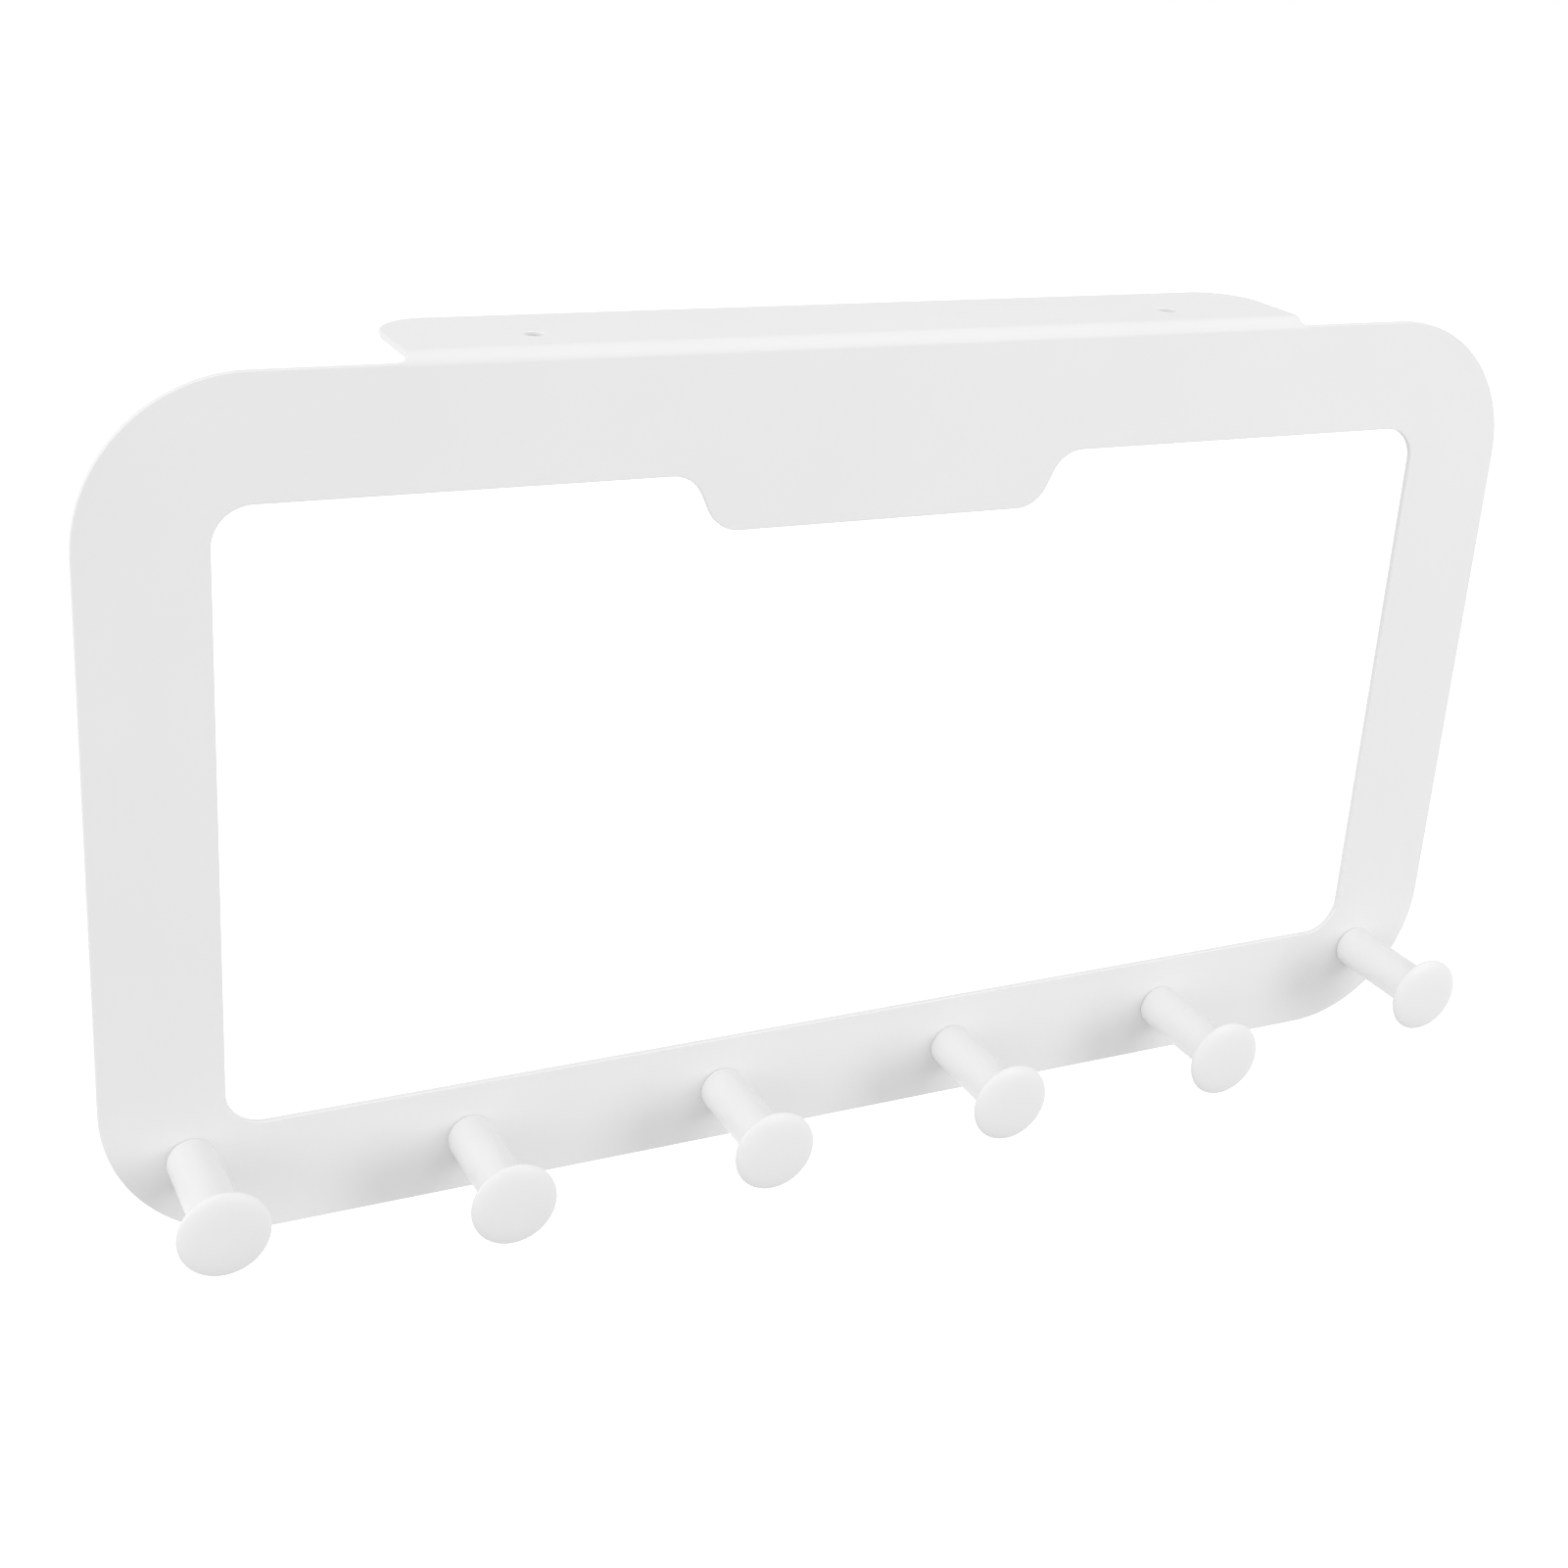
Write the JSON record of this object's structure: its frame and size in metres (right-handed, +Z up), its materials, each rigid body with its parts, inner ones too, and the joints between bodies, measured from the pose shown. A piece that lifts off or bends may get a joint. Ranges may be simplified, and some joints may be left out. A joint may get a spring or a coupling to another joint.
{
  "type": "over door hook",
  "caption": "Over-door coat rack: a rounded sheet-metal frame with a leaf bent back over the door's top edge and a row of mushroom-headed pegs on its bottom bar.",
  "frame": {"origin": "middle of the door's top front corner: on the plane of the sheet's back face, at the level of the leaf's underside", "axes": "+Z up, +X along the door to the right as seen from the front, +Y into the door; the pegs point along -Y"},
  "size_m": [0.35, 0.0618, 0.1942],
  "materials": {
    "white_powder_coat": "satin white powder coat on steel"
  },
  "bodies": {
    "root": {"hanger_plate": "white_powder_coat", "peg_1": "white_powder_coat", "peg_2": "white_powder_coat", "peg_3": "white_powder_coat", "peg_4": "white_powder_coat", "peg_5": "white_powder_coat", "peg_6": "white_powder_coat"}
  },
  "joints": []
}
